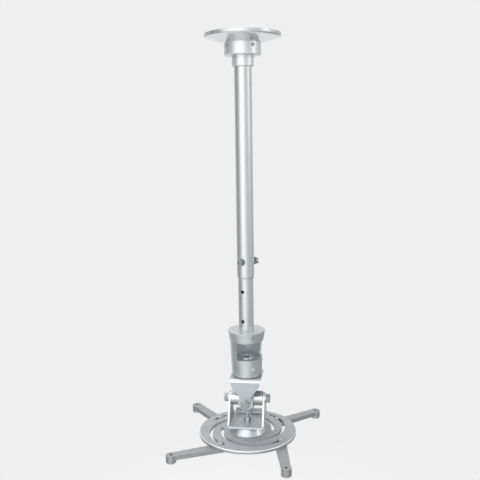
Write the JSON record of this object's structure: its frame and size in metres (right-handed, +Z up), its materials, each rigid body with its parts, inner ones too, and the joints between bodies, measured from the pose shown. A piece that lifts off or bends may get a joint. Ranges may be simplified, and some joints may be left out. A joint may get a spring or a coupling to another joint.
{
  "type": "projector ceiling mount",
  "caption": "Telescopic ceiling mount for a projector: round canopy, two tubes, cable cup, tilting brackets and a slotted round plate with movable arms.",
  "frame": {"origin": "centre of the ceiling plate's face that lies against the ceiling", "axes": "+Z up along the pole; +X along the tilt axis of the lower bracket; -Y the open front of that bracket"},
  "size_m": [0.239, 0.2367, 0.6725],
  "materials": {
    "silver_paint": "satin silver paint",
    "cast_silver": "satin silver paint on a casting",
    "zinc": "bright zinc plated"
  },
  "bodies": {
    "ceiling": {"ceiling_plate": "silver_paint", "canopy": "silver_paint", "canopy_screws": "zinc", "socket_collar": "silver_paint", "collar_set_screws": "zinc", "reducer_sleeve": "silver_paint", "outer_tube": "silver_paint", "lock_nuts": "zinc", "lock_screws": "zinc"},
    "drop_tube": {"inner_tube": "silver_paint", "cup_cap": "cast_silver", "cable_cup": "cast_silver", "cap_set_screw": "zinc", "swivel_set_screw": "zinc"},
    "head": {"swivel_hub": "cast_silver", "swivel_bolt": "zinc", "swivel_washers": "zinc", "swivel_nut": "zinc", "upper_bracket": "silver_paint"},
    "cross": {"cross_block": "cast_silver", "roll_bolts": "zinc", "roll_washers": "zinc", "tilt_bolts": "zinc", "tilt_washers": "zinc"},
    "yoke": {"tilt_yoke": "silver_paint"},
    "plate": {"base_plate": "cast_silver", "base_bolt": "zinc", "base_washers": "zinc", "base_nut": "zinc"},
    "slider_1": {"arm_screw_1": "zinc", "arm_nut_1": "zinc"},
    "arm_1": {"arm_1": "cast_silver"},
    "slider_2": {"arm_screw_2": "zinc", "arm_nut_2": "zinc"},
    "arm_2": {"arm_2": "cast_silver"},
    "slider_3": {"arm_screw_3": "zinc", "arm_nut_3": "zinc"},
    "arm_3": {"arm_3": "cast_silver"},
    "slider_4": {"arm_screw_4": "zinc", "arm_nut_4": "zinc"},
    "arm_4": {"arm_4": "cast_silver"}
  },
  "joints": [
    {"name": "height", "type": "slide", "parent": "ceiling", "child": "drop_tube", "axis": [0, 0, -1], "range_m": [-0.05, 0.15]},
    {"name": "head_swivel", "type": "hinge", "parent": "drop_tube", "child": "head", "pos_m": [0, 0, -0.5574], "axis": [0, 0, 1], "continuous": true},
    {"name": "roll", "type": "hinge", "parent": "head", "child": "cross", "pos_m": [0, 0, -0.5995], "axis": [0, 1, 0], "range_deg": [-20, 20]},
    {"name": "tilt", "type": "hinge", "parent": "cross", "child": "yoke", "pos_m": [0, 0, -0.5995], "axis": [1, 0, 0], "range_deg": [-20, 20]},
    {"name": "base_swivel", "type": "hinge", "parent": "yoke", "child": "plate", "pos_m": [0, 0, -0.6417], "axis": [0, 0, 1], "continuous": true},
    {"name": "arm_1_slot", "type": "hinge", "parent": "plate", "child": "slider_1", "pos_m": [-0.01252, 0.00506, -0.6595], "axis": [0, 0, 1], "range_deg": [-40, 3]},
    {"name": "arm_1_swing", "type": "hinge", "parent": "slider_1", "child": "arm_1", "pos_m": [-0.05309, 0.04159, -0.6595], "axis": [0, 0, 1], "range_deg": [-25, 25]},
    {"name": "arm_2_slot", "type": "hinge", "parent": "plate", "child": "slider_2", "pos_m": [-0.00506, -0.01252, -0.6595], "axis": [0, 0, 1], "range_deg": [-40, 3]},
    {"name": "arm_2_swing", "type": "hinge", "parent": "slider_2", "child": "arm_2", "pos_m": [-0.03715, -0.05669, -0.6595], "axis": [0, 0, 1], "range_deg": [-25, 25]},
    {"name": "arm_3_slot", "type": "hinge", "parent": "plate", "child": "slider_3", "pos_m": [0.01252, -0.00506, -0.6595], "axis": [0, 0, 1], "range_deg": [-40, 3]},
    {"name": "arm_3_swing", "type": "hinge", "parent": "slider_3", "child": "arm_3", "pos_m": [0.05805, -0.03519, -0.6595], "axis": [0, 0, 1], "range_deg": [-25, 25]},
    {"name": "arm_4_slot", "type": "hinge", "parent": "plate", "child": "slider_4", "pos_m": [0.00506, 0.01252, -0.6595], "axis": [0, 0, 1], "range_deg": [-40, 3]},
    {"name": "arm_4_swing", "type": "hinge", "parent": "slider_4", "child": "arm_4", "pos_m": [0.04749, 0.04688, -0.6595], "axis": [0, 0, 1], "range_deg": [-25, 25]}
  ]
}
